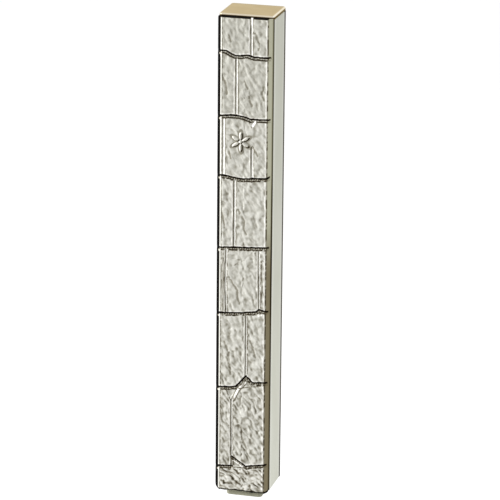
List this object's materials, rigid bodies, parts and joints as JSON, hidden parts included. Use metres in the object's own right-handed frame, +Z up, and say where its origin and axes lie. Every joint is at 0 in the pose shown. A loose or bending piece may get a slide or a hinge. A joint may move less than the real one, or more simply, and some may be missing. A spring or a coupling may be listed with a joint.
{
  "type": "mezuzah case",
  "caption": "Tall slim doorpost case with a stone-wall relief front, a flat lid, a rolled scroll inside and a pull-out stopper below.",
  "frame": {"origin": "centre of the tape face that sticks to the doorpost, halfway between the lid's top and the plaque's foot", "axes": "+Z up along the case, +Y into the doorpost, so the stone front faces -Y; +X to the right of someone who faces the front"},
  "size_m": [0.017, 0.0172, 0.1526],
  "materials": {
    "casing_metal": "satin anodised, pale champagne",
    "plate_metal": "satin anodised, olive bronze",
    "cap_metal": "satin anodised, champagne gold",
    "plaque_metal": "matt silver cast relief with darkened joints",
    "adhesive": "black adhesive film",
    "foam_tape": "white closed-cell foam",
    "stopper_rubber": "matt olive-grey silicone",
    "parchment": "matt parchment",
    "clear_film": "clear plastic film"
  },
  "bodies": {
    "case": {"casing": "casing_metal", "back_plate": "plate_metal", "top_cap": "cap_metal", "front_plaque": "plaque_metal", "plaque_film": "adhesive", "mounting_tape": "foam_tape"},
    "stopper": {"bottom_stopper": "stopper_rubber"},
    "rolled_scroll": {"scroll": "parchment", "scroll_sleeve": "clear_film"}
  },
  "joints": [
    {"name": "stopper_pull", "type": "slide", "parent": "case", "child": "stopper", "axis": [0, 0, -1], "range_m": [0, 0.135]},
    {"name": "scroll_slide", "type": "slide", "parent": "case", "child": "rolled_scroll", "axis": [0, 0, -1], "range_m": [0, 0.135]}
  ],
  "couplings": [
    {"joint": "scroll_slide", "follows": "stopper_pull", "ratio": 1}
  ]
}
